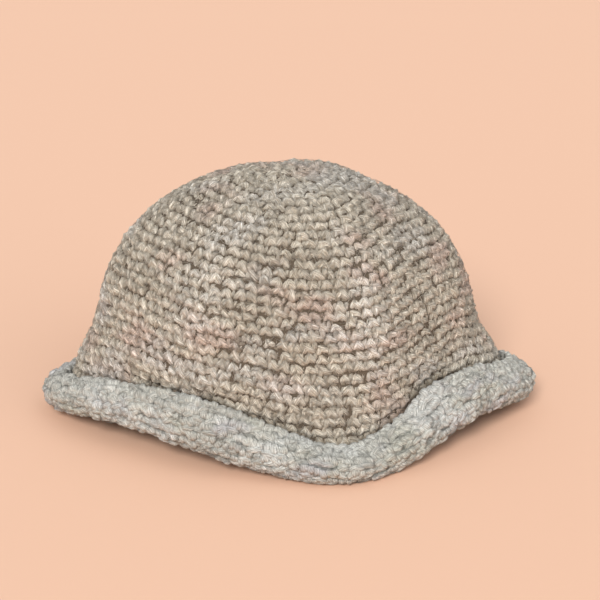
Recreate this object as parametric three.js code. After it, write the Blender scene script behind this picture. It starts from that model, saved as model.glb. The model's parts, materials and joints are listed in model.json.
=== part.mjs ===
import * as THREE from 'three';

// A soft crocheted bucket hat, in millimetres, +Z up, standing on its rolled brim.
// A bearing goes round the hat from the front (0, towards -Y) by way of +X (90) to the back (180).
// A reach is a distance from the middle of the crown out to the fabric at one bearing.

const DEGREE = Math.PI / 180;
const FULL_TURN = 360;

// Fabric and roll
const FABRIC_THICKNESS = 5;
const SEAM_ABOVE_UNDERSIDE = 11;
const SEAM_GAP = 0.3;
const GUTTER_WIDTH = 0.8;
const LARGEST_LEAN = 10.5;
const CUFF_SIDE_SHARE = 0.5;
const SURFACE_HEIGHT = 0;

// Crown
const CROWN_HEIGHT = 124;
const FOLD_FADE_REACH = 30;

// Facets
const STATIONS_ROUND = 72;
const OUTER_RINGS = 18;
const INNER_RINGS = 14;
const ROLL_OUTER_STEPS = 9;
const ROLL_INNER_STEPS = 6;
const EDGE_STEPS = 3;
const SLOPE_STEP = 0.004;
const SEARCH_STEPS = 36;

const CROWN_COLOUR = 0xae9f8f;
const BRIM_COLOUR = 0xb9b6b0;
const WOOL_ROUGHNESS = 0.95;

// The turned-up brim: the reach of its outermost stitch, the width of its roll from there in to
// the seam, the lift of its underside, and the height of its turned-up cuff over that underside.
// A lift under the surface is pressed flat on it.
const BRIM_SECTIONS = [
  { bearing: -170, reach: 98, roll: 16, lift: -1, cuff: 21 },
  { bearing: -140, reach: 103, roll: 16, lift: -0.8, cuff: 21 },
  { bearing: -112, reach: 105.5, roll: 15, lift: 0.5, cuff: 17 },
  { bearing: -87, reach: 125.5, roll: 13.5, lift: 2.2, cuff: 18 },
  { bearing: -66, reach: 111, roll: 14.5, lift: 10.5, cuff: 21 },
  { bearing: -48, reach: 98, roll: 16, lift: 11.5, cuff: 24.5 },
  { bearing: -30, reach: 95, roll: 16, lift: 9.2, cuff: 28 },
  { bearing: -8, reach: 93, roll: 16, lift: 2.5, cuff: 24 },
  { bearing: 17, reach: 101, roll: 16, lift: -1, cuff: 18 },
  { bearing: 34, reach: 99.5, roll: 16, lift: 0.5, cuff: 23 },
  { bearing: 50, reach: 101, roll: 16, lift: 7.5, cuff: 28.5 },
  { bearing: 68, reach: 109, roll: 14.5, lift: 12, cuff: 24 },
  { bearing: 90, reach: 123.5, roll: 13.5, lift: 4, cuff: 21.5 },
  { bearing: 113, reach: 106, roll: 15, lift: 0.5, cuff: 17 },
  { bearing: 145, reach: 102, roll: 16, lift: -0.8, cuff: 20 },
];

// The crown's reach at its waist
const CROWN_WAIST = [
  { bearing: -90, reach: 98 },
  { bearing: -45, reach: 85 },
  { bearing: 0, reach: 75.5 },
  { bearing: 20, reach: 76 },
  { bearing: 45, reach: 82 },
  { bearing: 90, reach: 93 },
  { bearing: 135, reach: 88 },
  { bearing: 180, reach: 84 },
  { bearing: 225, reach: 88 },
];

// The crown's side view, as shares of the waist reach and of the height
const CROWN_PROFILE = [
  { reach: 0, height: 1 },
  { reach: 0.27, height: 0.985 },
  { reach: 0.5, height: 0.93 },
  { reach: 0.68, height: 0.845 },
  { reach: 0.81, height: 0.745 },
  { reach: 0.9, height: 0.635 },
  { reach: 0.955, height: 0.53 },
  { reach: 0.985, height: 0.435 },
  { reach: 1.02, height: 0.345 },
];

// Just over the seam the crown flares, or draws in, part of the way to the brim
const FLARE = { height: 0.26, waistShare: 1.02, seamShare: 0.5 };

// Soft ridges and dents of the crown; a depth over zero stands out, one under zero sinks in
const CROWN_FOLDS = [
  { bearing: 30, height: 72, halfAngle: 10, halfHeight: 40, depth: 3 },
  { bearing: -11, height: 70, halfAngle: 11, halfHeight: 28, depth: -3 },
  { bearing: -36, height: 82, halfAngle: 12, halfHeight: 30, depth: 2.5 },
  { bearing: 58, height: 60, halfAngle: 10, halfHeight: 34, depth: -2 },
  { bearing: 128, height: 66, halfAngle: 14, halfHeight: 36, depth: -2.5 },
  { bearing: -150, height: 70, halfAngle: 15, halfHeight: 36, depth: 2.5 },
  { bearing: 78, height: 114, halfAngle: 42, halfHeight: 18, depth: -3 },
  { bearing: 123, height: 108, halfAngle: 14, halfHeight: 16, depth: -6 },
  { bearing: -162, height: 112, halfAngle: 16, halfHeight: 14, depth: -6 },
];

// Value of a column at any bearing: a smooth curve through the rows that closes after a full turn
function around(table, column, bearing) {
  const count = table.length;
  const first = table[0].bearing;
  const turned = first + THREE.MathUtils.euclideanModulo(bearing - first, FULL_TURN);
  let index = count - 1;
  while (table[index].bearing > turned) index -= 1;
  const row = (offset) => {
    const wrapped = THREE.MathUtils.euclideanModulo(index + offset, count);
    const turns = Math.floor((index + offset) / count);
    return { at: table[wrapped].bearing + turns * FULL_TURN, value: table[wrapped][column] };
  };
  const [before, start, end, after] = [row(-1), row(0), row(1), row(2)];
  const span = end.at - start.at;
  const share = (turned - start.at) / span;
  const slopeAtStart = (end.value - before.value) / (end.at - before.at);
  const slopeAtEnd = (after.value - start.value) / (after.at - start.at);
  const square = share * share;
  const cube = square * share;
  return (2 * cube - 3 * square + 1) * start.value
    + (cube - 2 * square + share) * span * slopeAtStart
    + (3 * square - 2 * cube) * end.value
    + (cube - square) * span * slopeAtEnd;
}

// How far the folds push the crown out at a bearing and height
function foldDepth(bearing, reach, height) {
  const fade = Math.min(1, reach / FOLD_FADE_REACH);
  let depth = 0;
  for (const fold of CROWN_FOLDS) {
    const halfTurn = FULL_TURN / 2;
    const away = THREE.MathUtils.euclideanModulo(bearing - fold.bearing + halfTurn, FULL_TURN) - halfTurn;
    const sideways = away / fold.halfAngle;
    const upward = (height - fold.height) / fold.halfHeight;
    depth += fold.depth * Math.exp(-sideways * sideways - upward * upward);
  }
  return depth * fade;
}

function brimAt(bearing) {
  const reach = around(BRIM_SECTIONS, 'reach', bearing);
  const roll = around(BRIM_SECTIONS, 'roll', bearing);
  const lift = around(BRIM_SECTIONS, 'lift', bearing);
  const cuff = around(BRIM_SECTIONS, 'cuff', bearing);
  const seamHeight = Math.max(lift, SURFACE_HEIGHT) + SEAM_ABOVE_UNDERSIDE;
  return { reach, lift, cuff, seamReach: reach - roll, seamHeight };
}

// The crown's outer face at one bearing, from its top to the seam, in the plane of reach and height
function crownCurve(bearing) {
  const waist = around(CROWN_WAIST, 'reach', bearing);
  const brim = brimAt(bearing);
  const points = CROWN_PROFILE.map(
    (row) => new THREE.Vector2(row.reach * waist, row.height * CROWN_HEIGHT),
  );
  const flareReach = THREE.MathUtils.lerp(FLARE.waistShare * waist, brim.seamReach, FLARE.seamShare);
  points.push(new THREE.Vector2(flareReach, FLARE.height * CROWN_HEIGHT));
  points.push(new THREE.Vector2(brim.seamReach, brim.seamHeight));
  return new THREE.SplineCurve(points);
}

function crownPoint(curve, bearing, share) {
  const point = curve.getPointAt(share);
  point.x += foldDepth(bearing, point.x, point.y);
  return point;
}

// The crown's inner face lies one fabric thickness inside the outer one
function crownInnerPoint(curve, bearing, share) {
  const point = crownPoint(curve, bearing, share);
  const before = crownPoint(curve, bearing, Math.max(0, share - SLOPE_STEP));
  const after = crownPoint(curve, bearing, Math.min(1, share + SLOPE_STEP));
  const along = after.sub(before).normalize();
  const inward = new THREE.Vector2(along.y, -along.x);
  return point.addScaledVector(inward, FABRIC_THICKNESS);
}

// The crown's reach at a height near its seam, found by walking up its lower half
function crownReachAtHeight(curve, bearing, height) {
  let best = crownPoint(curve, bearing, 1);
  for (let step = 0; step <= SEARCH_STEPS; step += 1) {
    const point = crownPoint(curve, bearing, 1 - step / SEARCH_STEPS / 2);
    if (point.y > height) break;
    best = point;
  }
  return best.x;
}

// One half of the crown's cut: down the outer face, across the seam, up the inner face
function crownSection(bearing) {
  const curve = crownCurve(bearing);
  const brim = brimAt(bearing);
  const section = [new THREE.Vector2(0, CROWN_HEIGHT)];
  for (let ring = 1; ring < OUTER_RINGS; ring += 1) {
    section.push(crownPoint(curve, bearing, ring / OUTER_RINGS));
  }
  section.push(new THREE.Vector2(brim.seamReach, brim.seamHeight));
  section.push(new THREE.Vector2(brim.seamReach - FABRIC_THICKNESS, brim.seamHeight));
  for (let ring = INNER_RINGS - 1; ring > 0; ring -= 1) {
    section.push(crownInnerPoint(curve, bearing, ring / INNER_RINGS));
  }
  section.push(new THREE.Vector2(0, CROWN_HEIGHT - FABRIC_THICKNESS));
  return section;
}

// The brim's cut: from the seam down its inner leg, round the roll and up to the free edge, which
// leans in until only the gutter is left beside the crown, then back down inside the roll.
// It is turned round at the end to run the same way as the crown's.
function brimSection(bearing) {
  const { reach, lift, cuff, seamReach, seamHeight } = brimAt(bearing);
  const half = FABRIC_THICKNESS / 2;
  const innerLeg = seamReach - half;
  const outerLeg = reach - half;
  const middle = (innerLeg + outerLeg) / 2;
  const rollRadius = (outerLeg - innerLeg) / 2;
  const rollHeight = lift + half + rollRadius;
  const edgeHeight = lift + cuff - half;
  const crownReach = crownReachAtHeight(crownCurve(bearing), bearing, edgeHeight);
  const edgeReach = Math.max(crownReach + GUTTER_WIDTH + half, outerLeg - LARGEST_LEAN);
  const sideReach = THREE.MathUtils.lerp(outerLeg, edgeReach, CUFF_SIDE_SHARE * CUFF_SIDE_SHARE);
  const sideHeight = THREE.MathUtils.lerp(rollHeight, edgeHeight, CUFF_SIDE_SHARE);
  const up = new THREE.Vector2(edgeReach - sideReach, edgeHeight - sideHeight).normalize();
  const out = new THREE.Vector2(up.y, -up.x);
  const section = [new THREE.Vector2(innerLeg - half, seamHeight - SEAM_GAP)];
  const rollPoint = (radius, share) => new THREE.Vector2(
    middle - radius * Math.cos(Math.PI * share),
    rollHeight - radius * Math.sin(Math.PI * share),
  );
  for (let step = 0; step <= ROLL_OUTER_STEPS; step += 1) {
    section.push(rollPoint(rollRadius + half, step / ROLL_OUTER_STEPS));
  }
  const side = new THREE.Vector2(sideReach, sideHeight);
  const edge = new THREE.Vector2(edgeReach, edgeHeight);
  section.push(side.clone().addScaledVector(out, half));
  for (let step = 0; step <= EDGE_STEPS; step += 1) {
    const turn = Math.PI * step / EDGE_STEPS;
    const rounded = edge.clone().addScaledVector(out, half * Math.cos(turn));
    section.push(rounded.addScaledVector(up, half * Math.sin(turn)));
  }
  section.push(side.clone().addScaledVector(out, -half));
  for (let step = ROLL_INNER_STEPS; step >= 0; step -= 1) {
    section.push(rollPoint(rollRadius - half, step / ROLL_INNER_STEPS));
  }
  section.push(new THREE.Vector2(innerLeg + half, seamHeight - SEAM_GAP));
  for (const point of section) point.y = Math.max(point.y, SURFACE_HEIGHT);
  return section.reverse();
}

// A closed body swept round the hat through one section for each station.
// A section that starts and ends on the axis gives a cap; any other closes on itself as a ring.
function sweepRound(sectionAt, isCap) {
  const sections = [];
  for (let station = 0; station < STATIONS_ROUND; station += 1) {
    const bearing = FULL_TURN * station / STATIONS_ROUND;
    const angle = bearing * DEGREE;
    sections.push(sectionAt(bearing).map(
      (point) => new THREE.Vector3(point.x * Math.sin(angle), -point.x * Math.cos(angle), point.y),
    ));
  }
  const positions = [];
  const addTriangle = (a, b, c) => {
    for (const corner of [a, b, c]) positions.push(corner.x, corner.y, corner.z);
  };
  const count = sections[0].length;
  const lastPoint = isCap ? count - 1 : count;
  for (let station = 0; station < STATIONS_ROUND; station += 1) {
    const here = sections[station];
    const next = sections[(station + 1) % STATIONS_ROUND];
    for (let index = 0; index < lastPoint; index += 1) {
      const below = (index + 1) % count;
      const startsOnAxis = isCap && index === 0;
      const endsOnAxis = isCap && below === count - 1;
      if (!startsOnAxis) addTriangle(here[index], here[below], next[index]);
      if (!endsOnAxis) addTriangle(next[index], here[below], next[below]);
    }
  }
  const geometry = new THREE.BufferGeometry();
  geometry.setAttribute('position', new THREE.Float32BufferAttribute(positions, 3));
  geometry.computeVertexNormals();
  return geometry;
}

function woolMesh(name, geometry, colour) {
  const material = new THREE.MeshStandardMaterial({ color: colour, roughness: WOOL_ROUGHNESS, metalness: 0 });
  const mesh = new THREE.Mesh(geometry, material);
  mesh.name = name;
  return mesh;
}

const hat = new THREE.Group();
hat.add(woolMesh('crown', sweepRound(crownSection, true), CROWN_COLOUR));
hat.add(woolMesh('rolled_brim', sweepRound(brimSection, false), BRIM_COLOUR));

// The origin is under the middle of the hat's outline from above
const outline = new THREE.Box3().setFromObject(hat, true);
const middle = outline.getCenter(new THREE.Vector3());
for (const mesh of hat.children) mesh.geometry.translate(-middle.x, -middle.y, -outline.min.z);

export default hat;
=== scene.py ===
# %% [markdown]
# A bucket hat crocheted from chunky wool: a round beige crown, worked from the middle of the top,
# and a pale grey brim that is turned up all round. The imported solids give the hat's place and
# size, and this lesson dresses them in stitches, yarn and colour. One bumpy skin could do it, but
# its outline would stay smooth, so every stitch is a shape of its own.
# First the frame is loaded.

# %% Load the frame
import json
import math
from collections import namedtuple

import bpy
import numpy as np
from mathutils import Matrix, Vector

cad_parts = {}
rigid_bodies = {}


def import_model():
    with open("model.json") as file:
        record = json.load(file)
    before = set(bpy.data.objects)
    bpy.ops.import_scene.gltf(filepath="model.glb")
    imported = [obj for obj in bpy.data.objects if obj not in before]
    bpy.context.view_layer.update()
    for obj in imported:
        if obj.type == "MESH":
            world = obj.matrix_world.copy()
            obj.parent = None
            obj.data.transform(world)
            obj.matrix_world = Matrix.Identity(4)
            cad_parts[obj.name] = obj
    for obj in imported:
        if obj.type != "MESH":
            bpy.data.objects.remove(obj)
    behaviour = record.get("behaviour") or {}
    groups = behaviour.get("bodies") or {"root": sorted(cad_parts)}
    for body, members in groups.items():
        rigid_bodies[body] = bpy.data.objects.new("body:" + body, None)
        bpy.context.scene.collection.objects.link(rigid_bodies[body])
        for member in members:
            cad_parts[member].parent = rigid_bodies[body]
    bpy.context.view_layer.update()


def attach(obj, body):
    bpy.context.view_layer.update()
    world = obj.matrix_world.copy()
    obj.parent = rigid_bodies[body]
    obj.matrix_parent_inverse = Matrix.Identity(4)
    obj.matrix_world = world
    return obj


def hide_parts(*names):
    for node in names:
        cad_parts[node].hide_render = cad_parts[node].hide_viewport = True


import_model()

MM = 0.001

# %% [markdown]
# The camera stands in front of the hat and looks down at it by 22 degrees, from a metre away, as
# the photograph does. A constraint could aim it, but a plain place and turn are easier to read.
# A long lens keeps the near brim from looking too large.

# %% Camera
VIEW_DOWN = math.radians(22.0)
VIEW_DISTANCE = 1.0
AIM = Vector((5.3 * MM, -2.8 * MM, 57.2 * MM))
SENSOR_WIDTH, LENS = 36.0, 120.0


def in_scene(name, data):
    thing = bpy.data.objects.new(name, data)
    bpy.context.scene.collection.objects.link(thing)
    return thing


camera = in_scene("camera", bpy.data.cameras.new("camera"))
camera.data.sensor_width, camera.data.lens = SENSOR_WIDTH, LENS
camera.location = AIM + VIEW_DISTANCE * Vector((0.0, -math.cos(VIEW_DOWN), math.sin(VIEW_DOWN)))
camera.rotation_euler = (math.radians(90.0) - VIEW_DOWN, 0.0, 0.0)
bpy.context.scene.camera = camera
print("camera at", [round(v, 3) for v in camera.location])

# %% [markdown]
# The brim waves up and down round the hat. It could be sculpted, but a short table can be read
# and changed, and the solids were made from the same rows, so the stitches lie on the fabric.
# A bearing goes round the hat from the front (0) by the right side (90) to the back (180). The
# reach is the distance out from the crown's middle, the roll the width of the turned-up brim,
# the lift its height over the surface, and the cuff its own height.

# %% The brim's sizes, in millimetres and degrees
FABRIC_THICKNESS = 5.0
HALF_FABRIC = FABRIC_THICKNESS / 2
SEAM_ABOVE_UNDERSIDE = 11.0
GUTTER_WIDTH = 0.8
LARGEST_LEAN = 10.5

BrimSection = namedtuple("BrimSection", "bearing reach roll lift cuff")
BRIM_SECTIONS = [BrimSection(*row) for row in (
    (-170, 98, 16, -1, 21), (-140, 103, 16, -0.8, 21), (-112, 105.5, 15, 0.5, 17),
    (-87, 125.5, 13.5, 2.2, 18), (-66, 111, 14.5, 10.5, 21), (-48, 98, 16, 11.5, 24.5),
    (-30, 95, 16, 9.2, 28), (-8, 93, 16, 2.5, 24), (17, 101, 16, -1, 18),
    (34, 99.5, 16, 0.5, 23), (50, 101, 16, 7.5, 28.5), (68, 109, 14.5, 12, 24),
    (90, 123.5, 13.5, 4, 21.5), (113, 106, 15, 0.5, 17), (145, 102, 16, -0.8, 20))]
print("the brim reaches", max(row.reach for row in BRIM_SECTIONS), "mm at its widest")

# %% [markdown]
# The crown is an oval from above and a soft dome from the side, which flares to meet the brim.
# One table gives the oval's reach, another the dome, as shares of that reach and of the height.
# Soft wool keeps folds and dents. They could be sculpted, but the third table lists each as a
# smooth bump, with its place, its size and how far it pushes the fabric out or in.

# %% The crown's sizes
CROWN_HEIGHT = 124.0
FLARE_HEIGHT = 0.26
FLARE_WAIST_SHARE = 1.02
FLARE_SEAM_SHARE = 0.5
FOLD_FADE_REACH = 30.0

WaistPoint = namedtuple("WaistPoint", "bearing reach")
CROWN_WAIST = [WaistPoint(*row) for row in (
    (-90, 98), (-45, 85), (0, 75.5), (20, 76), (45, 82), (90, 93), (135, 88), (180, 84), (225, 88))]

ProfilePoint = namedtuple("ProfilePoint", "reach height")
CROWN_PROFILE = [ProfilePoint(*row) for row in (
    (0, 1), (0.27, 0.985), (0.5, 0.93), (0.68, 0.845), (0.81, 0.745), (0.9, 0.635), (0.955, 0.53),
    (0.985, 0.435), (1.02, 0.345))]

Fold = namedtuple("Fold", "bearing height half_angle half_height depth")
CROWN_FOLDS = [Fold(*row) for row in (
    (30, 72, 10, 40, 3), (-11, 70, 11, 28, -3), (-36, 82, 12, 30, 2.5), (58, 60, 10, 34, -2),
    (128, 66, 14, 36, -2.5), (-150, 70, 15, 36, 2.5), (78, 114, 42, 18, -3), (123, 108, 14, 16, -6),
    (-162, 112, 16, 14, -6))]
print(len(CROWN_WAIST), "waist points,", len(CROWN_PROFILE), "profile points,", len(CROWN_FOLDS), "folds")

# %% [markdown]
# Straight lines between a table's rows would leave corners in the brim. A table is read along a
# cubic Hermite curve instead: it passes through every row, with a slope that comes from the
# row's two neighbours, and closes after a full turn.

# %% Reading a table at any bearing
def around(table, column, bearings):
    count = len(table)
    at = np.array([row.bearing for row in table], float)
    value = np.array([getattr(row, column) for row in table], float)
    turned = at[0] + np.mod(np.asarray(bearings, float) - at[0], 360.0)
    index = np.searchsorted(at, turned, side="right") - 1

    def row(offset):
        place = index + offset
        return at[place % count] + 360.0 * (place // count), value[place % count]

    (x0, y0), (x1, y1), (x2, y2), (x3, y3) = row(-1), row(0), row(1), row(2)
    span = x2 - x1
    share = (turned - x1) / span
    slope_1 = (y2 - y0) / (x2 - x0)
    slope_2 = (y3 - y1) / (x3 - x1)
    square, cube = share ** 2, share ** 3
    return ((2 * cube - 3 * square + 1) * y1 + (cube - 2 * square + share) * span * slope_1
            + (3 * square - 2 * cube) * y2 + (cube - square) * span * slope_2)


def brim_values(bearings):
    """The brim's reach, lift, cuff, seam reach and seam height at some bearings."""
    reach = around(BRIM_SECTIONS, "reach", bearings)
    lift = around(BRIM_SECTIONS, "lift", bearings)
    cuff = around(BRIM_SECTIONS, "cuff", bearings)
    seam_height = np.maximum(lift, 0.0) + SEAM_ABOVE_UNDERSIDE
    seam_reach = reach - around(BRIM_SECTIONS, "roll", bearings)
    return reach, lift, cuff, seam_reach, seam_height


STATIONS = np.arange(0.0, 360.0, 5.0)
station_reach = brim_values(STATIONS)[0]
station_x = station_reach * np.sin(np.radians(STATIONS))
station_y = -station_reach * np.cos(np.radians(STATIONS))
MIDDLE = np.array([(station_x.max() + station_x.min()) / 2, (station_y.max() + station_y.min()) / 2])
print("the outline's middle, mm", MIDDLE.round(2))

# %% [markdown]
# A meridian is the line of the fabric from top to bottom at one bearing. It is walked at even
# steps of its length, because every round of crochet is as tall as the next. The crown's follows
# a Catmull-Rom curve, which passes through each point of the profile, and the folds push it.

# %% The crown's meridian
CURVE_STEPS = 25


def even_steps(reaches, heights, shares):
    """Points at even steps of length along a line in the plane of reach and height."""
    steps = np.hypot(np.diff(reaches), np.diff(heights))
    length = np.concatenate([[0.0], np.cumsum(steps)])
    wanted = shares * length[-1]
    return np.interp(wanted, length, reaches), np.interp(wanted, length, heights), length[-1]


def curve_through(points):
    points = np.array([points[0]] + points + [points[-1]])
    share = np.linspace(0.0, 1.0, CURVE_STEPS)[:-1, None]
    line = [0.5 * (2 * b + (c - a) * share + (2 * a - 5 * b + 4 * c - d) * share ** 2
                   + (3 * b - a - 3 * c + d) * share ** 3)
            for a, b, c, d in zip(points, points[1:], points[2:], points[3:])]
    return np.vstack(line + [points[-1:]])


def fold_push(bearing, height):
    """How far the folds push the crown out, in millimetres."""
    push = np.zeros(len(height))
    for fold in CROWN_FOLDS:
        away = (bearing - fold.bearing + 180.0) % 360.0 - 180.0
        push += fold.depth * np.exp(-(away / fold.half_angle) ** 2
                                    - ((height - fold.height) / fold.half_height) ** 2)
    return push


def crown_meridian(bearing, shares):
    waist = float(around(CROWN_WAIST, "reach", [bearing])[0])
    _, _, _, seam_reach, seam_height = [float(v[0]) for v in brim_values([bearing])]
    flare = FLARE_WAIST_SHARE * waist * (1 - FLARE_SEAM_SHARE) + seam_reach * FLARE_SEAM_SHARE
    line = curve_through([(row.reach * waist, row.height * CROWN_HEIGHT) for row in CROWN_PROFILE]
                         + [(flare, FLARE_HEIGHT * CROWN_HEIGHT), (seam_reach, seam_height)])
    reach, height, length = even_steps(line[:, 0], line[:, 1], shares)
    return reach + fold_push(bearing, height) * np.minimum(1.0, reach / FOLD_FADE_REACH), height, length


print("crown at the front, top to seam, mm", round(crown_meridian(0.0, np.linspace(0.0, 1.0, 5))[2], 1))

# %% [markdown]
# The brim's fabric runs down from the seam, turns up through a half circle, and leans in as a
# cuff until its free edge almost touches the crown. Cloth simulation could find that form, but
# the three plain curves below keep it where the photograph shows it.

# %% The brim's meridian
ROLL_STEPS, CUFF_STEPS = 33, 13
LOWER_CROWN = np.linspace(0.5, 1.0, 37)


def brim_meridian(bearing, shares):
    reach, lift, cuff, seam_reach, seam_height = [float(v[0]) for v in brim_values([bearing])]
    inner_leg, outer_leg = seam_reach - HALF_FABRIC, reach - HALF_FABRIC
    radius = (outer_leg - inner_leg) / 2
    roll_height = lift + HALF_FABRIC + radius
    edge_height = lift + cuff - HALF_FABRIC
    crown_reach, crown_height, _ = crown_meridian(bearing, LOWER_CROWN)
    beside = float(np.interp(-edge_height, -crown_height, crown_reach))
    edge_reach = max(beside + GUTTER_WIDTH + HALF_FABRIC, outer_leg - LARGEST_LEAN)
    turn = np.linspace(0.0, math.pi, ROLL_STEPS)
    roll = np.stack([inner_leg + radius - radius * np.cos(turn), roll_height - radius * np.sin(turn)], 1)
    share = np.linspace(0.0, 1.0, CUFF_STEPS)[1:, None]
    start, pull, end = [np.array(p) for p in (
        (outer_leg, roll_height), (outer_leg, (roll_height + edge_height) / 2), (edge_reach, edge_height))]
    cuff_line = start * (1 - share) ** 2 + 2 * pull * share * (1 - share) + end * share ** 2
    line = np.vstack([[(inner_leg, seam_height)], roll, cuff_line])
    return even_steps(line[:, 0], line[:, 1], shares)


print("brim at the front, seam to edge, mm", round(brim_meridian(0.0, np.linspace(0.0, 1.0, 5))[2], 1))

# %% [markdown]
# Each fabric becomes a grid of bearings by shares of the way along the fabric, with a place and
# an outward direction at each point. A stitch anywhere is then read between four grid points,
# which is much faster than a curve for each stitch.

# %% Grids of the two fabrics
GRID_STEP = 2.0
GRID_BEARINGS = np.arange(0.0, 360.0, GRID_STEP)
GRID_SHARES = np.linspace(0.0, 1.0, 97)
NO_LENGTH = 1e-6

FabricGrid = namedtuple("FabricGrid", "place outward lengths")


def fabric_grid(meridian):
    walked = [meridian(bearing, GRID_SHARES) for bearing in GRID_BEARINGS]
    reach, height, lengths = [np.array(part) for part in zip(*walked)]
    turn = np.radians(GRID_BEARINGS)[:, None]
    place = np.stack([reach * np.sin(turn) - MIDDLE[0], -reach * np.cos(turn) - MIDDLE[1], height], 2)
    along_round = np.roll(place, -1, 0) - np.roll(place, 1, 0)
    pole = np.linalg.norm(along_round, axis=2) < NO_LENGTH
    across = np.stack([np.cos(turn), np.sin(turn), 0 * turn], 2)
    along_round[pole] = np.repeat(across, len(GRID_SHARES), 1)[pole]
    outward = np.cross(np.gradient(place, axis=1), along_round)
    outward /= np.linalg.norm(outward, axis=2)[:, :, None]
    return FabricGrid(place * MM, outward, lengths)


def on_fabric(fabric, bearings, shares):
    """Place and outward direction at any bearings and shares."""
    column = np.mod(bearings, 360.0) / GRID_STEP
    row = np.clip(shares, 0.0, 1.0) * (len(GRID_SHARES) - 1)
    c0, r0 = np.floor(column).astype(int), np.minimum(np.floor(row).astype(int), len(GRID_SHARES) - 2)
    cf, rf = (column - c0)[:, None], (row - r0)[:, None]
    c0, c1 = c0 % len(GRID_BEARINGS), (c0 + 1) % len(GRID_BEARINGS)
    found = []
    for table in (fabric.place, fabric.outward):
        low = table[c0, r0] * (1 - cf) + table[c1, r0] * cf
        high = table[c0, r0 + 1] * (1 - cf) + table[c1, r0 + 1] * cf
        found.append(low * (1 - rf) + high * rf)
    return found[0], found[1] / np.linalg.norm(found[1], axis=1)[:, None]


crown_fabric = fabric_grid(crown_meridian)
brim_fabric = fabric_grid(brim_meridian)
for name, fabric in (("crown from top to seam", crown_fabric), ("brim from seam to edge", brim_fabric)):
    print(name, "mm", fabric.lengths.min().round(1), "to", fabric.lengths.max().round(1))

# %% [markdown]
# Materials and Geometry Nodes are both trees of nodes. They could be drawn in Blender's editor,
# but a script can be read and changed in one place. These helpers add one node each. What is
# given for an input is either a plain value, or a socket of another node to link.

# %% Helpers for trees of nodes
MIX_FIRST, MIX_SECOND, MIX_RESULT = 6, 7, 2  # a Mix node's sockets for colours


def add_node(tree, kind, given=None, **settings):
    """Add a node, with its properties as settings and its inputs by name or number."""
    node = tree.nodes.new(kind)
    for name, value in settings.items():
        setattr(node, name, value)
    for place, value in (given or {}).items():
        if isinstance(value, bpy.types.NodeSocket):
            tree.links.new(value, node.inputs[place])
        else:
            node.inputs[place].default_value = value
    return node


def new_tree(name, kind, inputs, outputs):
    """A node group whose sockets are rows of a name, a kind, and a default where it needs one."""
    tree = bpy.data.node_groups.new(name, kind)
    for sockets, direction in ((inputs, "INPUT"), (outputs, "OUTPUT")):
        for socket_name, socket_kind, *default in sockets:
            socket = tree.interface.new_socket(name=socket_name, in_out=direction,
                                               socket_type="NodeSocket" + socket_kind)
            if default:
                socket.default_value = default[0]
    print(name, "takes", [row[0] for row in inputs])
    return tree, tree.nodes.new("NodeGroupInput").outputs, tree.nodes.new("NodeGroupOutput").inputs


def maths(tree, operation, *values, clamp=False):
    node = add_node(tree, "ShaderNodeMath", dict(enumerate(values)), operation=operation, use_clamp=clamp)
    return node.outputs[0]


def vectors(tree, operation, first, second):
    return add_node(tree, "ShaderNodeVectorMath", {0: first, 1: second}, operation=operation).outputs[0]


def scaled(tree, vector, scale):
    given = {"Vector": vector, "Scale": scale}
    return add_node(tree, "ShaderNodeVectorMath", given, operation="SCALE").outputs["Vector"]


def noise(tree, vector, scale, detail=2.0, roughness=0.5, offset=(0, 0, 0)):
    return add_node(tree, "ShaderNodeTexNoise", {
        "Vector": vectors(tree, "ADD", vector, offset), "Scale": scale, "Detail": detail,
        "Roughness": roughness}).outputs["Fac"]


def step_between(tree, value, low, high):
    given = {"Value": value, "From Min": low, "From Max": high}
    return add_node(tree, "ShaderNodeMapRange", given, interpolation_type="SMOOTHSTEP").outputs["Result"]


def mixed(tree, share, first, second, blend="MIX"):
    given = {0: share, MIX_FIRST: first, MIX_SECOND: second}
    return add_node(tree, "ShaderNodeMix", given, data_type="RGBA", blend_type=blend).outputs[MIX_RESULT]


print("helpers for", len((maths, vectors, scaled, noise, step_between, mixed)), "kinds of node")

# %% [markdown]
# The wool is heathered: the spinner mixed several dyed wools, so patches of beige, pink and grey
# drift along the rounds. A colour for each stitch would look like confetti. Noise in Object
# coordinates gives soft patches that stay put, stretched to run further round the hat than up it.
# Folds that stand out get a painted highlight, paler and a little brighter, and dents a painted
# shade, a little darker; the attribute "ridge" says where.

# %% Heathered colour as a node group
PATCH_STRETCH = (1.0, 1.0, 1.8)
FOLD_HIGHLIGHT_PATCHES, FOLD_HIGHLIGHT_FROM, FOLD_HIGHLIGHT_FULL, FOLD_HIGHLIGHT_SHARE = 90.0, 0.35, 0.6, 0.65
SPECKLES, FLECKS = 420.0, 1500.0
FLECK_OFFSET = (1.7, 2.9, 8.8)

Patch = namedtuple("Patch", "colour offset low high")
PATCHES = [
    Patch("Warm", (3.1, 0.4, 7.7), 0.50, 0.66),
    Patch("Cool", (9.2, 5.3, 1.6), 0.53, 0.70),
    Patch("Pale", (6.4, 2.8, 4.5), 0.50, 0.68),
]


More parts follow.
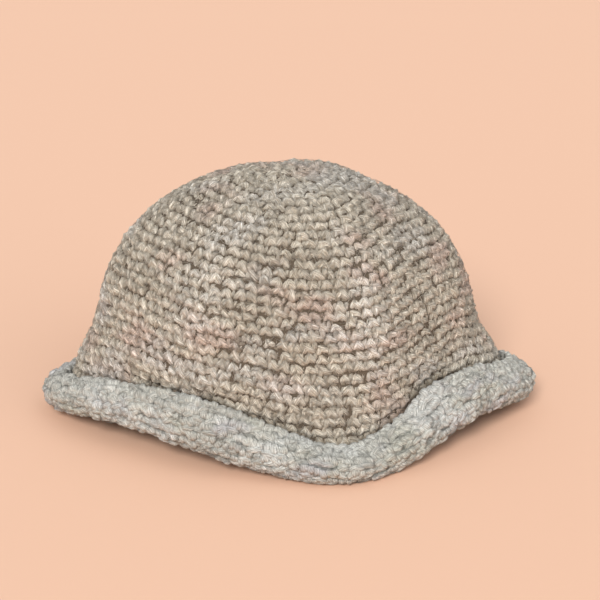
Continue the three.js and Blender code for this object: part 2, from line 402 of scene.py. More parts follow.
def heather_group():
    group, given, result = new_tree("Heathered colour", "ShaderNodeTree", [
        ("Place", "Vector"), ("Tone", "Float"), ("Ridge", "Float"), ("Main", "Color"), ("Pale", "Color"),
        ("Warm", "Color"), ("Cool", "Color"), ("Patches Each Metre", "Float"), ("Contrast", "Float")],
        [("Color", "Color")])
    place = vectors(group, "MULTIPLY", given["Place"], PATCH_STRETCH)
    colour = given["Main"]
    for patch in PATCHES:
        here = noise(group, place, given["Patches Each Metre"], 1.5, 0.5, patch.offset)
        share = maths(group, "MULTIPLY", step_between(group, here, patch.low, patch.high),
                      given["Contrast"])
        colour = mixed(group, share, colour, given[patch.colour])
    # Painted highlight: paler wool mixed in on folds that stand out, where "ridge" is above 0.
    fold_highlight = maths(group, "MULTIPLY", maths(group, "MAXIMUM", given["Ridge"], 0.0),
                 step_between(group, noise(group, place, FOLD_HIGHLIGHT_PATCHES, 2.0, 0.6), FOLD_HIGHLIGHT_FROM, FOLD_HIGHLIGHT_FULL))
    colour = mixed(group, maths(group, "MULTIPLY", fold_highlight, FOLD_HIGHLIGHT_SHARE, clamp=True), colour, given["Pale"])
    # Speckles, flecks and tone are the wool's own; the ridge term paints a highlight on folds and shade in
    # dents.
    light = 1.0
    for mask, gain, base in ((noise(group, place, SPECKLES, 2.0, 0.6), 0.5, 0.75),
                             (noise(group, place, FLECKS, 2.0, 0.6, FLECK_OFFSET), 0.9, 0.55),
                             (given["Ridge"], 0.10, 1.0), (given["Tone"], 0.22, 0.89)):
        light = maths(group, "MULTIPLY", light, maths(group, "MULTIPLY_ADD", mask, gain, base))
    group.links.new(scaled(group, colour, light), result["Color"])
    return group


heather = heather_group()

# %% [markdown]
# Up close, chunky wool shows its plies, soft strands twisted round each other, with loose hairs
# along them. They are too fine for faces, so they become a height for bump. Each strand of a
# stitch has a UV map, with U along it and V round it, so the plies turn round the strand. Bump
# casts no shadow, so the group also puts out how lit a spot is, as painted shade: dark in the
# grooves between plies, and where the attribute "deep" says that it lies deep in the fabric.

# %% Plies, hairs and painted shade as a node group
TONE_TURN, TONE_HAIRS = 5.0, 90.0
HAIRS_ROUND, HAIRS_ALONG = 3.0, 3.2
SLACK, PLY_SHARPNESS, PLY_HEIGHT = 2.6, 0.8, 0.6
DEPTH_SHARPNESS, DEPTH_DARK = 1.15, 0.85


def plied_wool_group():
    group, given, result = new_tree("Plied wool", "ShaderNodeTree", [
        ("Yarn UV", "Vector"), ("Tone", "Float"), ("Plies", "Float"), ("Twist", "Float"),
        ("Hairiness", "Float", 0.8), ("Depth", "Float")], [("Height", "Float"), ("Groove", "Float")])
    parts = add_node(group, "ShaderNodeSeparateXYZ", {0: given["Yarn UV"]}).outputs
    turn = maths(group, "ADD", maths(group, "MULTIPLY", parts["Y"], given["Plies"]),
                 maths(group, "MULTIPLY", parts["X"], given["Twist"]))
    turn = maths(group, "ADD", turn, maths(group, "MULTIPLY", given["Tone"], TONE_TURN))
    hair_place = add_node(group, "ShaderNodeCombineXYZ", {
        "X": maths(group, "MULTIPLY", turn, HAIRS_ROUND),
        "Y": maths(group, "MULTIPLY", parts["X"], HAIRS_ALONG),
        "Z": maths(group, "MULTIPLY", given["Tone"], TONE_HAIRS)}).outputs[0]
    hairs = step_between(group, noise(group, hair_place, 1.0, 3.0, 0.65), 0.3, 0.7)
    slack = noise(group, hair_place, 0.3, 1.0, 0.5, (4.0, 8.0, 2.0))
    turn = maths(group, "ADD", turn, maths(group, "MULTIPLY", slack, SLACK))
    wave = maths(group, "ABSOLUTE", maths(group, "SINE", maths(group, "MULTIPLY", turn, math.pi)))
    ply = maths(group, "POWER", wave, PLY_SHARPNESS)
    height = maths(group, "ADD", maths(group, "MULTIPLY", ply, PLY_HEIGHT),
                   maths(group, "MULTIPLY", hairs, given["Hairiness"]))
    # Painted shade: darker in the grooves between plies, and where "deep" is high; the hair noise adds the
    # hairs' own streaks.
    groove = maths(group, "MULTIPLY", maths(group, "MULTIPLY_ADD", ply, 0.75, 0.25),
                   maths(group, "MULTIPLY_ADD", hairs, 0.55, 0.45), clamp=True)
    depth = maths(group, "POWER", given["Depth"], DEPTH_SHARPNESS)
    shadow = maths(group, "MULTIPLY_ADD", depth, -DEPTH_DARK, 1.0)
    group.links.new(height, result["Height"])
    group.links.new(maths(group, "MULTIPLY", groove, shadow), result["Groove"])
    return group


plied_wool = plied_wool_group()

# %% [markdown]
# A yarn's material puts the two groups together. The painted shade darkens the colour, and where
# it is dark it also tints it browner, because light from between the strands has passed through
# wool. Wool is rough all over, and a little sheen stands for the light that its hairs catch.
# Values that are the same all over sit on the shader itself, so that the export keeps them.

# %% A material for yarn
PLIES_ROUND, TWIST_EACH_U = 9.0, 2.6
LIT_SHADE, MIDDLE_GROOVE, TINT_BELOW = 1.08, 0.62, 1.15
WOOL_SURFACE = {"Roughness": 0.92, "Specular IOR Level": 0.25, "Sheen Weight": 0.15,
                "Sheen Roughness": 0.6}

Yarn = namedtuple("Yarn", "main pale warm cool patches contrast bump tint depth_share groove_dark")


def new_material(name, surface):
    material = bpy.data.materials.new(name)
    material.use_nodes = True
    shader = material.node_tree.nodes["Principled BSDF"]
    for socket, value in surface.items():
        shader.inputs[socket].default_value = value
    print("material:", name)
    return material, material.node_tree, shader


def attribute(tree, name):
    return add_node(tree, "ShaderNodeAttribute", attribute_name=name).outputs["Fac"]


def add_bump(tree, shader, height, distance):
    bump = add_node(tree, "ShaderNodeBump", {"Strength": 1.0, "Distance": distance, "Height": height})
    tree.links.new(bump.outputs["Normal"], shader.inputs["Normal"])


def yarn_material(name, yarn):
    material, tree, shader = new_material(name, WOOL_SURFACE)
    tone = attribute(tree, "tone")
    colour = add_node(tree, "ShaderNodeGroup", {
        "Place": add_node(tree, "ShaderNodeTexCoord").outputs["Object"], "Tone": tone,
        "Ridge": attribute(tree, "ridge"), "Main": (*yarn.main, 1.0), "Pale": (*yarn.pale, 1.0),
        "Warm": (*yarn.warm, 1.0), "Cool": (*yarn.cool, 1.0), "Patches Each Metre": yarn.patches,
        "Contrast": yarn.contrast}, node_tree=heather).outputs["Color"]
    wool = add_node(tree, "ShaderNodeGroup", {
        "Yarn UV": add_node(tree, "ShaderNodeUVMap", uv_map="yarn").outputs["UV"], "Tone": tone,
        "Plies": PLIES_ROUND, "Twist": TWIST_EACH_U,
        "Depth": maths(tree, "MULTIPLY", attribute(tree, "deep"), yarn.depth_share)}, node_tree=plied_wool)
    # Painted shade from the grooves and depths scales the colour, and tints its darkest spots browner.
    shade = maths(tree, "MULTIPLY_ADD", wool.outputs["Groove"], yarn.groove_dark,
                  LIT_SHADE - yarn.groove_dark * MIDDLE_GROOVE)
    hidden = maths(tree, "SUBTRACT", TINT_BELOW, shade, clamp=True)
    shade_browned = mixed(tree, hidden, scaled(tree, colour, shade), (*yarn.tint, 1.0), "MULTIPLY")
    tree.links.new(shade_browned, shader.inputs["Base Color"])
    add_bump(tree, shader, wool.outputs["Height"], yarn.bump)
    return material


print("the surface of wool:", WOOL_SURFACE)

# %% [markdown]
# The crown's yarn is beige, with painted shade of deep brown in its gaps. The brim's is pale grey
# with softer painted shade in its gaps, because the wrong side of crochet is flatter. Colours are
# linear values of red, green and blue.

# %% The two yarns
beige_wool = yarn_material("beige wool", Yarn(
    main=(0.70, 0.645, 0.545), pale=(0.80, 0.785, 0.75), warm=(0.72, 0.545, 0.475),
    cool=(0.59, 0.545, 0.45), patches=30.0, contrast=0.6, bump=0.8 * MM, tint=(1.0, 0.80, 0.58),
    depth_share=1.0, groove_dark=1.08))
grey_wool = yarn_material("pale grey wool", Yarn(
    main=(0.525, 0.525, 0.482), pale=(0.60, 0.615, 0.605), warm=(0.495, 0.495, 0.425),
    cool=(0.495, 0.49, 0.52), patches=40.0, contrast=0.6, bump=0.6 * MM, tint=(1.0, 0.96, 0.88),
    depth_share=0.5, groove_dark=0.85))

# %% [markdown]
# Between the stitches one sees wool that lies deeper, where little light reaches. It needs no
# plies, only a darker colour as painted shade, with a soft fluff of noise.

# %% The wool deep between the stitches, in painted shade
FLUFF_SCALE, FLUFF_DARK, FLUFF_BUMP = 700.0, 0.55, 0.6 * MM


def shaded_gap_material(name, colour):
    material, tree, shader = new_material(name, {"Roughness": 0.95})
    fluff = noise(tree, add_node(tree, "ShaderNodeTexCoord").outputs["Object"], FLUFF_SCALE, 4.0, 0.6)
    dark = tuple(v * FLUFF_DARK for v in colour)
    tree.links.new(mixed(tree, fluff, (*dark, 1.0), (*colour, 1.0)), shader.inputs["Base Color"])
    add_bump(tree, shader, fluff, FLUFF_BUMP)
    return material


beige_depths = shaded_gap_material("beige wool between stitches", (0.13, 0.10, 0.07))
grey_depths = shaded_gap_material("grey wool between stitches", (0.40, 0.395, 0.36))

# %% [markdown]
# Each crochet stitch is loops of one yarn. A full loop would hide most of its length, and a curve
# with a round bevel would waste faces, so a stitch is only its visible strands: bent tubes with a
# few sides, swollen in the middle, with a shallow groove where two plies meet. A strand's points
# are rows of x, y, z and radius, with x along the round, y up the fabric and z out of it.

# %% A strand of yarn as a mesh
U_LENGTH = 10.0


def strand(points, sides, rings, lobe, twist, first_vertex, phase):
    """One closed bent tube, in millimetres: its vertices, faces and UV corners."""
    points = np.array(points, float)
    knots = np.linspace(0.0, 1.0, len(points))
    wanted = np.linspace(0.0, 1.0, rings)
    line = np.stack([np.interp(wanted, knots, points[:, k]) for k in range(4)], 1)
    if rings > 3:
        line[1:-1] = (line[:-2] + 2 * line[1:-1] + line[2:]) / 4
    along = np.gradient(line[:, :3], axis=0)
    along /= np.linalg.norm(along, axis=1)[:, None]
    length = np.concatenate([[0.0], np.cumsum(np.linalg.norm(np.diff(line[:, :3], axis=0), axis=1))])
    vertices, faces, corner_uv = [], [], []
    for number in range(rings):
        sideways = np.cross(along[number], (0.0, 0.0, 1.0))
        sideways /= np.linalg.norm(sideways)
        outward = np.cross(sideways, along[number])
        for side in range(sides):
            angle = math.tau * side / sides
            radius = line[number, 3] * (1 + lobe * math.cos(2 * (angle - phase) + twist * length[number]))
            spoke = math.cos(angle) * outward + math.sin(angle) * sideways
            vertices.append(line[number, :3] + radius * spoke)
    for number in range(rings - 1):
        for side in range(sides):
            after = (side + 1) % sides
            base = first_vertex + number * sides
            faces.append((base + side, base + after, base + sides + after, base + sides + side))
            u0, u1 = length[number] / U_LENGTH, length[number + 1] / U_LENGTH
            v0, v1 = side / sides, (side + 1) / sides
            corner_uv += [(u0, v0), (u0, v1), (u1, v1), (u1, v0)]
    last = first_vertex + (rings - 1) * sides
    faces.append(tuple(first_vertex + side for side in reversed(range(sides))))
    faces.append(tuple(last + side for side in range(sides)))
    corner_uv += [(0.0, side / sides) for side in reversed(range(sides))]
    corner_uv += [(length[-1] / U_LENGTH, side / sides) for side in range(sides)]
    return vertices, faces, corner_uv


print("a short strand has", len(strand([(-1, 0, 0, 1), (1, 0, 0, 1)], 5, 4, 0.1, 0.3, 0, 0.0)[1]), "faces")

# %% [markdown]
# A stitch's strands become one small mesh, with its UV map and with "deep" on each point for
# painted shade, from 0 where it is lit to 1 at the bottom of the fabric. It has only a few dozen
# faces, because thousands of them are laid. The shapes wait in collections, from which the tree
# picks.

# %% A stitch from its strands
LIT_DEPTH, DARK_DEPTH = 0.5, 3.6
FIRST_PHASE, U_SHIFT = 0.8, 0.37


def new_mesh(name, spots, edges=(), faces=(), smooth=False):
    mesh = bpy.data.meshes.new(name)
    mesh.from_pydata([tuple(spot) for spot in spots], edges, faces)
    mesh.polygons.foreach_set("use_smooth", [smooth] * len(mesh.polygons))
    mesh.update()
    return mesh


def stitch_shape(name, strands, sides, rings, collection, lobe=0.13, twist=0.35):
    vertices, faces, corner_uv = [], [], []
    for number, (points, side_count, ring_count) in enumerate(zip(strands, sides, rings)):
        more = strand(points, side_count, ring_count, lobe, twist, len(vertices), FIRST_PHASE + number)
        vertices += [v * MM for v in more[0]]
        faces += more[1]
        corner_uv += [(u + U_SHIFT * number, v) for u, v in more[2]]
    mesh = new_mesh(name, vertices, faces=faces, smooth=True)
    layer = mesh.uv_layers.new(name="yarn")
    layer.data.foreach_set("uv", np.array(corner_uv, np.float32).ravel())
    # Painted shade: points deeper than LIT_DEPTH darken towards DARK_DEPTH, where little light reaches.
    below = np.clip((-np.array(vertices)[:, 2] / MM - LIT_DEPTH) / (DARK_DEPTH - LIT_DEPTH), 0.0, 1.0)
    mesh.attributes.new("deep", "FLOAT", "POINT").data.foreach_set("value", below)
    collection.objects.link(bpy.data.objects.new(name, mesh))
    print("stitch:", name, len(faces), "faces")


def new_collection(name):
    collection = bpy.data.collections.new(name)
    bpy.context.scene.collection.children.link(collection)
    return collection


def moved(points, dx=0.0, dy=0.0, dz=0.0, fatter=1.0):
    return [(x + dx, y + dy, z + dz, r * fatter) for x, y, z, r in points]


print("a stitch is lit down to", LIT_DEPTH, "mm and dark from", DARK_DEPTH, "mm")

# %% [markdown]
# Seen from its right side, a single crochet looks like a small tent: two slanting legs, with a
# thin post beside them and a strand between them that shows in the gaps. One shape repeated would
# look like a print, so there are three, a little different in lean and size.

# %% The right side's stitches
LEG_OVER = [(-2.0, 2.35, -3.4, 1.0), (-1.3, 1.5, -1.8, 1.4), (-0.3, 0.5, -1.1, 1.7),
            (0.8, -0.65, -0.95, 1.75), (1.7, -1.6, -1.55, 1.45), (2.3, -2.35, -3.3, 1.0)]
LEG_UNDER = [(1.0, 2.35, -3.4, 1.0), (0.1, 1.5, -2.0, 1.35), (-0.9, 0.3, -1.5, 1.6),
             (-1.7, -0.95, -1.2, 1.65), (-2.3, -1.75, -1.85, 1.35), (-2.7, -2.4, -3.3, 1.0)]
LEG_STEEP = [(-1.2, 2.35, -3.4, 1.0), (-0.7, 1.5, -1.8, 1.45), (0.1, 0.4, -1.1, 1.7),
             (0.9, -0.75, -0.95, 1.75), (1.4, -1.6, -1.55, 1.45), (1.6, -2.35, -3.3, 1.0)]
POST_THIN = [(3.2, 2.35, -3.2, 1.0), (2.5, 1.4, -1.7, 1.45), (2.2, 0.3, -1.5, 1.4), (2.9, -1.15, -2.7, 1.0)]
MIDDLE_STRAND = [(-0.6, 0.4, -2.4, 1.0), (-0.4, -0.75, -1.7, 1.35), (-0.1, -1.6, -1.85, 1.35),
                 (0.2, -2.4, -3.2, 1.0)]
TENT_SIDES, TENT_RINGS = (7, 6, 5, 4), (5, 5, 4, 4)

right_side = new_collection("right side stitches")
stitch_shape("tent", [LEG_OVER, LEG_UNDER, POST_THIN, MIDDLE_STRAND], TENT_SIDES, TENT_RINGS, right_side)
stitch_shape("tent steep", [LEG_STEEP, moved(LEG_UNDER, -0.1, 0.1, 0.2, 1.08), moved(POST_THIN, -0.2),
                            moved(MIDDLE_STRAND, 0.1, 0.1, 0.3)], TENT_SIDES, TENT_RINGS, right_side)
stitch_shape("tent wide", [moved(LEG_OVER, 0.2, -0.1, 0.2, 1.06), moved(LEG_UNDER, 0.1, 0.2, -0.1, 1.1),
                           moved(POST_THIN, 0.2, 0.1, 0.2), MIDDLE_STRAND],
             TENT_SIDES, TENT_RINGS, right_side, twist=0.5)

# %% [markdown]
# The wrong side shows a short bar across two posts. The turned-up brim has it outside, drawn in
# tight and flat. The head hollow has it too, but is seldom seen, so its shapes have fewer faces.

# %% The wrong side's stitches
BAR = [(-3.2, -1.5, -2.4, 1.2), (-1.6, -1.2, -1.4, 1.65), (0.0, -1.0, -1.1, 1.8), (1.6, -1.3, -1.4, 1.65),
       (3.2, -1.7, -2.4, 1.2)]
POST_LEFT = [(-1.7, 3.1, -2.6, 1.4), (-1.4, 1.5, -1.35, 1.85), (-1.1, -0.4, -2.0, 1.6)]
POST_RIGHT = [(1.2, 3.1, -2.6, 1.4), (1.6, 1.4, -1.3, 1.9), (1.9, -0.4, -2.0, 1.6)]
FLAT_LEVEL, FLAT_SHARE, FLAT_FATTER = -1.8, 0.45, 1.15


def slanted(points, slope):
    return [(x, y + slope * x, z, r) for x, y, z, r in points]


def flatter(points):
    """A strand drawn in tighter: its heights nearer to one level, and a little fatter."""
    return [(x, y, FLAT_LEVEL + (z - FLAT_LEVEL) * FLAT_SHARE, r * FLAT_FATTER) for x, y, z, r in points]


wrong_side = new_collection("wrong side stitches")
for name, strands in (
        ("bar", (BAR, POST_LEFT, POST_RIGHT)),
        ("bar tilted", (moved(slanted(BAR, 0.22), 0.0, 0.3), moved(POST_LEFT, 0.2, 0.0, 0.2), POST_RIGHT)),
        ("bar low", (moved(BAR, 0.0, -0.5, -0.1), moved(POST_LEFT, -0.2, -0.2, 0.2),
                     moved(POST_RIGHT, -0.2, -0.1, 0.3))),
        ("bar slanting", ([(x * 0.8, -y * 0.5 - 0.5 * x, z, r) for x, y, z, r in BAR],
                          moved(POST_LEFT, -0.5, -0.4), moved(POST_RIGHT, 0.3, 0.1)))):
    stitch_shape(name, [flatter(points) for points in strands], (7, 7, 7), (5, 3, 3), wrong_side)

inner_side = new_collection("inside stitches")
stitch_shape("inside bar", [BAR, POST_LEFT, POST_RIGHT], (5, 5, 5), (4, 3, 3), inner_side, lobe=0.0)
stitch_shape("inside bar tilted", [slanted(BAR, -0.2), POST_LEFT, moved(POST_RIGHT, 0.2)],
             (5, 5, 5), (4, 3, 3), inner_side, lobe=0.0)

# %% [markdown]
# The last round of crochet ends in a row of V-shaped loops, like a chain along the edge. Two
# strands a stitch are enough, because the loops lie close together.

# %% The free edge's loops
LOOP_FRONT = [(-2.8, 0.5, -1.0, 1.2), (-1.2, 1.4, -0.3, 1.5), (0.6, 1.6, -0.1, 1.6), (2.2, 0.9, -0.3, 1.45),
              (3.4, -0.3, -1.2, 1.1)]
LOOP_BACK = [(-2.8, -0.7, -1.0, 1.2), (-1.2, -1.6, -0.4, 1.5), (0.6, -1.7, -0.2, 1.55),
             (2.2, -1.1, -0.4, 1.4), (3.4, -0.4, -1.2, 1.1)]

edge_loops = new_collection("edge loops")
stitch_shape("edge loop", [LOOP_FRONT, LOOP_BACK], (7, 7), (5, 5), edge_loops)

# %% [markdown]
# Crochet is one shape repeated along a line. Array modifiers could repeat it, but every copy
# would be alike, and real fabric is never quite even, so this is a tree of Geometry Nodes. A
# guide line becomes a curve and is cut into stitches, by their width or by a number for each
# line. Each cut gets a stitch that faces outwards, with a little chance in its turn, place, size
# and tone. The tree ends in Realize Instances and Set Material, because the export needs a mesh.

# %% The tree that lays stitches along a guide
SHAPE_NUMBERS = 99
Chance = namedtuple("Chance", "seed_shift low high")
TURN_CHANCE = Chance(11, (-0.16, -0.16, -0.27), (0.16, 0.16, 0.27))
PLACE_CHANCE = Chance(23, (-0.0005, -0.0004, -0.0005), (0.0005, 0.0004, 0.0005))
SIZE_CHANCE = Chance(37, (-0.10, -0.09, -0.10), (0.14, 0.10, 0.12))


def picked_shapes(tree, collection, points, more):
    shapes = add_node(tree, "GeometryNodeCollectionInfo", {
        "Collection": collection, "Separate Children": True, "Reset Children": True})
    return add_node(tree, "GeometryNodeInstanceOnPoints", {
        "Points": points, "Instance": shapes.outputs["Instances"], "Pick Instance": True, **more}
    ).outputs["Instances"]


def real_wool(tree, given, instances, result):
    """Give each instance a tone, then make one mesh of them all."""
    tone = add_node(tree, "FunctionNodeRandomValue", {"Seed": given["Seed"]}, data_type="FLOAT").outputs[1]
    toned = add_node(tree, "GeometryNodeStoreNamedAttribute", {
        "Geometry": instances, "Name": "tone", "Value": tone}, data_type="FLOAT", domain="INSTANCE")
    real = add_node(tree, "GeometryNodeRealizeInstances", {"Geometry": toned.outputs["Geometry"]})
    finish = add_node(tree, "GeometryNodeSetMaterial", {
        "Geometry": real.outputs["Geometry"], "Material": given["Wool"]})
    tree.links.new(finish.outputs["Geometry"], result)


def crochet_tree():
    tree, given, result = new_tree("Crochet along a guide", "GeometryNodeTree", [
        ("Guide", "Geometry"), ("Stitch Width", "Float"), ("Stitches Each Line", "Int"),
        ("Stitches", "Collection"), ("Seed", "Int"), ("Unevenness", "Float"), ("Size", "Float"),
        ("Wool", "Material")], [("Fabric", "Geometry")])

    def uneven(chance):
        seed = add_node(tree, "FunctionNodeIntegerMath", {0: given["Seed"], 1: chance.seed_shift},
                        operation="ADD").outputs[0]
        value = add_node(tree, "FunctionNodeRandomValue", {0: chance.low, 1: chance.high, "Seed": seed},
                         data_type="FLOAT_VECTOR").outputs[0]
        return scaled(tree, value, given["Unevenness"])

    curve = add_node(tree, "GeometryNodeMeshToCurve", {"Mesh": given["Guide"]}).outputs["Curve"]
    by_width = add_node(tree, "GeometryNodeResampleCurve", {
        "Curve": curve, "Length": given["Stitch Width"]}, mode="LENGTH").outputs["Curve"]
    by_number = add_node(tree, "GeometryNodeResampleCurve", {
        "Curve": curve, "Count": given["Stitches Each Line"]}, mode="COUNT").outputs["Curve"]
    cut = add_node(tree, "GeometryNodeSwitch", {
        "Switch": given["Stitches Each Line"], "False": by_width, "True": by_number},
        input_type="GEOMETRY").outputs["Output"]
    facing = add_node(tree, "GeometryNodeInputNamedAttribute", {"Name": "facing"}, data_type="FLOAT_VECTOR")
    turn = add_node(tree, "FunctionNodeAxesToRotation", {
        "Primary Axis": facing.outputs["Attribute"],
        "Secondary Axis": add_node(tree, "GeometryNodeInputTangent").outputs["Tangent"]},
        primary_axis="Z", secondary_axis="X")
    which = add_node(tree, "FunctionNodeRandomValue", {4: 0, 5: SHAPE_NUMBERS, "Seed": given["Seed"]},
                     data_type="INT")
    laid = picked_shapes(tree, given["Stitches"], cut, {
        "Instance Index": which.outputs[2], "Rotation": turn.outputs["Rotation"]})
    turned = add_node(tree, "GeometryNodeRotateInstances", {
        "Instances": laid, "Rotation": uneven(TURN_CHANCE)}).outputs["Instances"]
    shifted = add_node(tree, "GeometryNodeTranslateInstances", {
        "Instances": turned, "Translation": uneven(PLACE_CHANCE)}).outputs["Instances"]
    sized = add_node(tree, "GeometryNodeScaleInstances", {
        "Instances": shifted, "Scale": vectors(tree, "ADD", uneven(SIZE_CHANCE), given["Size"])}
    ).outputs["Instances"]
    real_wool(tree, given, sized, result["Fabric"])
    return tree


crochet = crochet_tree()

# %% [markdown]
# A guide is a line of edges, with the direction that its stitches face stored at each point. The
# crown is worked in a spiral from the middle of the top, so one long line carries its rounds. The
# brim is worked in rounds that join at the back, because a spiral would end in a visible step.

# %% Guides
GUIDE_STEP = 3.0
ONCE_FROM_BACK = np.arange(180.0, 540.0 - GUIDE_STEP / 2, GUIDE_STEP)


def guide_line(name, place, facing, points_a_line):
    edges = [(k, k + 1) for k in range(len(place) - 1) if (k + 1) % points_a_line]
    mesh = new_mesh(name, place, edges)
    mesh.attributes.new("facing", "FLOAT_VECTOR", "POINT").data.foreach_set("vector", facing.ravel())
    return in_scene(name, mesh)


def guide_on(name, fabric, bearings, shares, depth, side, points_a_line):
    """A guide some millimetres behind the grid, seen from its side of the fabric: 1 is the right side."""
    place, outward = on_fabric(fabric, bearings, shares)
    facing = outward * side
    return guide_line(name, place - facing * depth * MM, facing, points_a_line)


def spiral_guide(name, fabric, rounds, first, last, depth, side):
    turns = np.arange(first, last, GUIDE_STEP / 360.0)
    return guide_on(name, fabric, turns * 360.0, turns / rounds, depth, side, len(turns))


def rounds_guide(name, fabric, rounds, depth, side):
    shares = np.repeat((np.arange(rounds) + 0.5) / rounds, len(ONCE_FROM_BACK))
    return guide_on(name, fabric, np.tile(ONCE_FROM_BACK, rounds), shares, depth, side, len(ONCE_FROM_BACK))


print("a round of the brim has", len(ONCE_FROM_BACK), "guide points")

# %% [markdown]
# Some of a stitch's look depends on where it lies. Down in the gutter behind the brim the crown
# lies in shade, which is painted: "deep" rises to 1 there. "ridge" is 1 on a full fold and -1 in
# a deep dent, for a painted highlight on the folds and painted shade in the dents. Where the brim
# rests on the surface its stitches are pressed flat, as soft wool is.
# A physics run could press them, but a smooth curve on the height is quicker.

# %% What a spot's place on the hat does to it
PRESSED_BELOW = 1.2 * MM
GUTTER_SHADE_ABOVE, GUTTER_SHADE_HEIGHT = -1.0, 1.5


def bearing_of(spots):
    return np.degrees(np.arctan2(spots[:, 0] / MM + MIDDLE[0], -spots[:, 1] / MM - MIDDLE[1]))


def painted_gutter_shade(spots):
    """The painted shade of each spot of the crown down in the gutter: 0 above the brim's edge, 1 under it.
    """
    _, lift, cuff, _, _ = brim_values(bearing_of(spots))
    return np.clip((lift + cuff + GUTTER_SHADE_ABOVE - spots[:, 2] / MM) / GUTTER_SHADE_HEIGHT, 0.0, 1.0)


def ridge_at(spots):
    push = fold_push(bearing_of(spots), spots[:, 2] / MM)
    return np.clip(push / max(fold.depth for fold in CROWN_FOLDS), -1.0, 1.0)


def press(spots):
    """Flatten the lowest spots softly towards the surface, in place."""
    low = spots[:, 2] < PRESSED_BELOW
    spots[low, 2] = PRESSED_BELOW * np.exp(spots[low, 2] / PRESSED_BELOW - 1.0)


print("stitches are pressed below", PRESSED_BELOW / MM, "mm")

# %% [markdown]
# The modifier runs the tree on a guide, with its inputs set by their identifiers. The result
# becomes a plain mesh, and the modifier and the guide are removed, so only wool is left.

# %% Growing a piece from a guide
STITCH_WIDTH = 6.0


def values_of(collection, name, width=1):
    values = np.empty(len(collection) * width, np.float32)
    collection.foreach_get(name, values)
    return values.reshape(-1, width) if width > 1 else values


def grown_by(tree, guide, name, values, wool, beside_gutter):
    """Run a tree on a guide and keep the result as a plain mesh of one material."""
    modifier = guide.modifiers.new(tree.name, "NODES")
    modifier.node_group = tree
    for item in tree.interface.items_tree:
        if item.in_out == "INPUT" and item.name in values:
            modifier[item.identifier] = values[item.name]
    bpy.context.view_layer.update()
    depsgraph = bpy.context.evaluated_depsgraph_get()
    mesh = bpy.data.meshes.new_from_object(guide.evaluated_get(depsgraph), preserve_all_data_layers=True,
                                           depsgraph=depsgraph)
    guide.modifiers.remove(modifier)
    bpy.data.objects.remove(guide)
    mesh.name = name
    mesh.materials.clear()
    mesh.materials.append(wool)
    mesh.polygons.foreach_set("material_index", [0] * len(mesh.polygons))
    if "facing" in mesh.attributes:
        mesh.attributes.remove(mesh.attributes["facing"])
    spots = values_of(mesh.vertices, "co", 3)
    # Painted shade in the gutter behind the brim, raised into "deep".
    if beside_gutter:
        deep = mesh.attributes["deep"].data
        deep.foreach_set("value", np.maximum(values_of(deep, "value"), painted_gutter_shade(spots)))
    # The ridge gives the crown a painted highlight on folds and painted shade in dents.
    ridge = ridge_at(spots) if wool is beige_wool else np.zeros(len(spots))
    mesh.attributes.new("ridge", "FLOAT", "POINT").data.foreach_set("value", ridge)
    press(spots)
    mesh.vertices.foreach_set("co", spots.ravel())
    mesh.update()
    print(name, len(mesh.polygons), "faces,", sum(len(p.vertices) - 2 for p in mesh.polygons), "triangles")
    return in_scene(name, mesh)


def crocheted(name, guide, shapes, seed, wool, unevenness=1.0, size=1.0, width=STITCH_WIDTH, each_line=0,
              beside_gutter=False):
    values = {"Stitch Width": width * MM, "Stitches Each Line": each_line, "Stitches": shapes,
              "Seed": seed, "Unevenness": unevenness, "Size": size, "Wool": wool}
    return grown_by(crochet, guide, name, values, wool, beside_gutter)


print("pieces are grown by the tree", repr(crochet.name))

# %% [markdown]
# The crown is 31 rounds from its middle to the seam, with stitches about 6 mm wide. Its outside
# is made in two pieces of fabric, so that neither has too many faces to export whole. A third
# piece on the inside shows the bars of the wrong side through the head opening.

# %% The crown's stitches
CROWN_ROUNDS = 31
TOP_START, INSIDE_START, CROWN_SPLIT, CROWN_END = 0.3, 0.5, 20.5, 30.9
INSIDE_STITCH_WIDTH = 6.2

crown_top_stitches = crocheted(
    "crown_top_stitches",
    spiral_guide("crown top guide", crown_fabric, CROWN_ROUNDS, TOP_START, CROWN_SPLIT, 0.0, 1.0),
    right_side, 3, beige_wool, unevenness=1.35)
crown_side_stitches = crocheted(
    "crown_side_stitches",
    spiral_guide("crown side guide", crown_fabric, CROWN_ROUNDS, CROWN_SPLIT, CROWN_END, 0.0, 1.0),
    right_side, 5, beige_wool, unevenness=1.2, size=1.05, beside_gutter=True)
crown_inside_stitches = crocheted(
    "crown_inside_stitches",
    spiral_guide("crown inside guide", crown_fabric, CROWN_ROUNDS, INSIDE_START, CROWN_END,
                 -FABRIC_THICKNESS, -1.0),
    inner_side, 7, beige_wool, width=INSIDE_STITCH_WIDTH)

# %% [markdown]
# The brim's right side ends up in the gutter beside the crown, and the outside of the roll shows
# the wrong side's bars. Every round has the same number of stitches, so they stand in columns,
# whose grooves run across the roll in the photograph.

# %% The brim's stitches
BRIM_ROUNDS = 9
BRIM_STITCHES_A_ROUND = 114

brim_outer_stitches = crocheted(
    "brim_outer_stitches", rounds_guide("brim outer guide", brim_fabric, BRIM_ROUNDS, -HALF_FABRIC, -1.0),
    wrong_side, 11, grey_wool, unevenness=1.3, size=1.04, each_line=BRIM_STITCHES_A_ROUND)
brim_gutter_stitches = crocheted(
    "brim_gutter_stitches", rounds_guide("brim gutter guide", brim_fabric, BRIM_ROUNDS, -HALF_FABRIC, 1.0),
    right_side, 13, grey_wool, each_line=BRIM_STITCHES_A_ROUND)

# %% [markdown]
# The free edge has the loops of the last round along it like a chain. Their guide lies just
# inside the edge, and they face on past it, in the direction that the fabric was going.

# %% The brim's free edge
BEFORE_EDGE = 0.93
EDGE_INSET = 0.4


